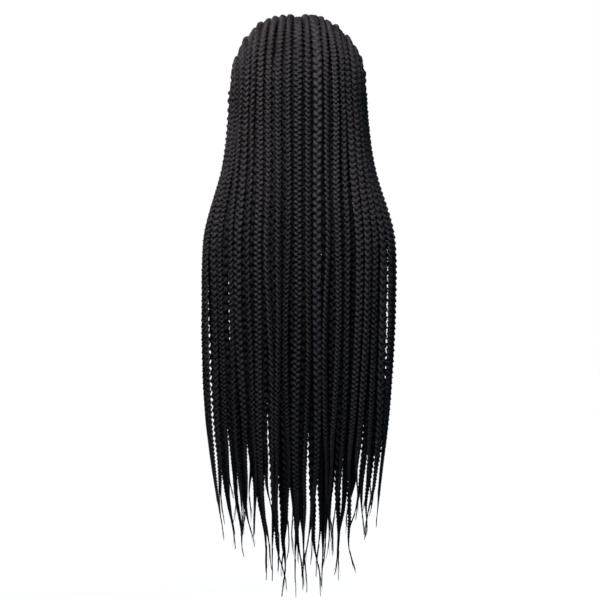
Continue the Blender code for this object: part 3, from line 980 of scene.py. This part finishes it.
def net_material():
    """Stretch net of the cap: small round holes in a dark knit."""
    made, nodes, links = shader_of("cap_stretch_net")
    shader = nodes["Principled BSDF"]
    shader.inputs["Specular IOR Level"].default_value = 0.3
    place = nodes.new("ShaderNodeTexCoord")
    cells = nodes.new("ShaderNodeTexVoronoi")
    cells.inputs["Scale"].default_value = 620.0
    cells.inputs["Randomness"].default_value = 0.35
    links.new(place.outputs["Object"], cells.inputs["Vector"])
    hole, thread = (0.003, 0.003, 0.0035), (0.017, 0.016, 0.017)
    colour = two_tone(nodes, links, cells.outputs["Distance"], (0.25, 0.55), hole, thread)
    links.new(colour, shader.inputs["Base Color"])
    knit = nodes.new("ShaderNodeTexNoise")
    knit.inputs["Scale"].default_value = 260.0
    links.new(place.outputs["Object"], knit.inputs["Vector"])
    add_roughness(nodes, links, knit.outputs["Fac"], stretch=(0.0, 1.0), ends=(0.72, 0.95))
    add_bump(nodes, links, cells.outputs["Distance"], strength=0.6, distance=0.0005)
    return made


def dome_shell(radii):
    """Points of one side of the cap: its top, then ring after ring down to the edge."""
    points = [HEAD_CENTRE + radii * on_cap(0, 0)]
    for row in range(1, DOME_ROWS + 1):
        for column in range(DOME_COLUMNS):
            angle = 2 * math.pi * column / DOME_COLUMNS
            polar = rim_polar(angle) * row / DOME_ROWS
            points.append(HEAD_CENTRE + radii * on_cap(angle, polar))
    return points


def add_cap_dome():
    """The cap as a fine dome of one thickness, closed along its edge."""
    inner = CAP_RADII - CAP_WALL
    outer = inner + CAP_WALL * DOME_WALL_SHARE
    vertices = dome_shell(outer) + dome_shell(inner)
    faces = []
    tops = (0, len(vertices) // 2)
    for top, outside in zip(tops, (True, False)):
        for column in range(DOME_COLUMNS):
            after = (column + 1) % DOME_COLUMNS
            face = [top, top + 1 + column, top + 1 + after]
            faces.append(face[::-1] if outside else face)
            for row in range(DOME_ROWS - 1):
                upper = top + 1 + row * DOME_COLUMNS
                lower = upper + DOME_COLUMNS
                face = [upper + column, lower + column, lower + after, upper + after]
                faces.append(face[::-1] if outside else face)
    outer_rim, inner_rim = (top + 1 + (DOME_ROWS - 1) * DOME_COLUMNS for top in tops)
    for column in range(DOME_COLUMNS):
        after = (column + 1) % DOME_COLUMNS
        faces.append([outer_rim + column, outer_rim + after, inner_rim + after, inner_rim + column])
    mesh = bpy.data.meshes.new("cap_dome")
    mesh.from_pydata([tuple(v) for v in vertices], [], faces)
    mesh.shade_smooth()
    dome = bpy.data.objects.new("cap_dome", mesh)
    bpy.context.scene.collection.objects.link(dome)
    dome.data.materials.append(net_material())
    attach(dome, "root")
    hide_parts("cap")


# Studio: a pale floor that glows more with distance, three soft lamps and a white surround.
FLOOR_LEVEL = -1.3
FLOOR_RADIUS = 14
FLOOR_SIDES = 64
GLOW_DISTANCES = (1.6, 4.5)
GLOW_STRENGTHS = (0.72, 0.97)
AMBIENT_COLOUR = (0.56, 0.77, 1.0, 1.0)
AMBIENT_STRENGTH = 0.085
CAMERA_PLACE = (-0.003, 3.56, -0.424)
CAMERA_TURN = (math.pi / 2, 0.0, math.pi)
CAMERA_LENS = 140.0
WHITE = (1.0, 1.0, 1.0, 1.0)
Lamp = namedtuple("Lamp", "name place target size energy colour")
LAMPS = [
    Lamp("key", (0.14, 0.60, 0.52), (0.0, 0.05, -0.10), 0.5, 10.5, (1.0, 0.92, 0.90)),
    Lamp("fill", (-1.3, 2.6, -0.45), (0.0, 0.05, -0.65), 1.6, 7.0, (0.40, 0.66, 1.0)),
    Lamp("front", (0.5, -2.6, 0.7), (0.0, 0.0, -0.30), 1.6, 60.0, (1.0, 0.98, 0.96)),
]


def floor_material():
    """Pale, and it glows more with distance."""
    made, nodes, links = shader_of("floor_pale")
    shader = nodes["Principled BSDF"]
    shader.inputs["Base Color"].default_value = (0.86, 0.86, 0.86, 1.0)
    shader.inputs["Roughness"].default_value = 0.9
    shader.inputs["Specular IOR Level"].default_value = 0.1
    shader.inputs["Emission Color"].default_value = WHITE
    place = nodes.new("ShaderNodeTexCoord")
    distance = nodes.new("ShaderNodeVectorMath")
    distance.operation = "LENGTH"
    links.new(place.outputs["Object"], distance.inputs[0])
    glow = nodes.new("ShaderNodeMapRange")
    glow.interpolation_type = "SMOOTHSTEP"
    glow.inputs["From Min"].default_value = GLOW_DISTANCES[0]
    glow.inputs["From Max"].default_value = GLOW_DISTANCES[1]
    glow.inputs["To Min"].default_value = GLOW_STRENGTHS[0]
    glow.inputs["To Max"].default_value = GLOW_STRENGTHS[1]
    links.new(distance.outputs["Value"], glow.inputs["Value"])
    links.new(glow.outputs["Result"], shader.inputs["Emission Strength"])
    return made


def add_floor():
    """A wide round floor below the tips."""
    turns = [2 * math.pi * k / FLOOR_SIDES for k in range(FLOOR_SIDES)]
    ring = [(FLOOR_RADIUS * math.cos(t), FLOOR_RADIUS * math.sin(t), FLOOR_LEVEL) for t in turns]
    mesh = bpy.data.meshes.new("floor")
    mesh.from_pydata(ring, [], [list(range(FLOOR_SIDES))])
    floor = bpy.data.objects.new("floor", mesh)
    bpy.context.scene.collection.objects.link(floor)
    floor.data.materials.append(floor_material())
    floor.visible_glossy = False
    floor.visible_diffuse = False


def add_lamp(lamp):
    """A round soft lamp that the camera doesn't see."""
    light = bpy.data.lights.new(lamp.name, "AREA")
    light.shape = "DISK"
    light.size = lamp.size
    light.energy = lamp.energy
    light.color = lamp.colour
    made = bpy.data.objects.new(lamp.name, light)
    made.location = lamp.place
    aim = Vector(lamp.target) - Vector(lamp.place)
    made.rotation_euler = aim.to_track_quat("-Z", "Y").to_euler()
    made.visible_camera = False
    bpy.context.scene.collection.objects.link(made)


def add_world():
    """White where the camera sees it, and a faint cool light on everything else."""
    world = bpy.data.worlds.new("studio")
    world.use_nodes = True
    nodes, links = world.node_tree.nodes, world.node_tree.links
    seen = nodes["Background"]
    seen.inputs["Color"].default_value = WHITE
    seen.inputs["Strength"].default_value = 1.0
    ambient = nodes.new("ShaderNodeBackground")
    ambient.inputs["Color"].default_value = AMBIENT_COLOUR
    ambient.inputs["Strength"].default_value = AMBIENT_STRENGTH
    path = nodes.new("ShaderNodeLightPath")
    mix = nodes.new("ShaderNodeMixShader")
    links.new(path.outputs["Is Camera Ray"], mix.inputs[0])
    links.new(ambient.outputs[0], mix.inputs[1])
    links.new(seen.outputs[0], mix.inputs[2])
    links.new(mix.outputs[0], nodes["World Output"].inputs["Surface"])
    bpy.context.scene.world = world


def add_camera():
    """The camera, level with the middle of the hair and behind it."""
    camera = bpy.data.cameras.new("camera")
    camera.sensor_width = 36.0
    camera.lens = CAMERA_LENS
    made = bpy.data.objects.new("camera", camera)
    made.location = CAMERA_PLACE
    made.rotation_euler = CAMERA_TURN
    bpy.context.scene.collection.objects.link(made)
    bpy.context.scene.camera = made


for braid_layer in LAYERS:
    for braid_place in range(braid_layer.count):
        add_plait(braid_layer, braid_place)
add_cap_dome()
add_floor()
for studio_lamp in LAMPS:
    add_lamp(studio_lamp)
add_world()
add_camera()
bpy.context.scene.view_settings.view_transform = "Standard"
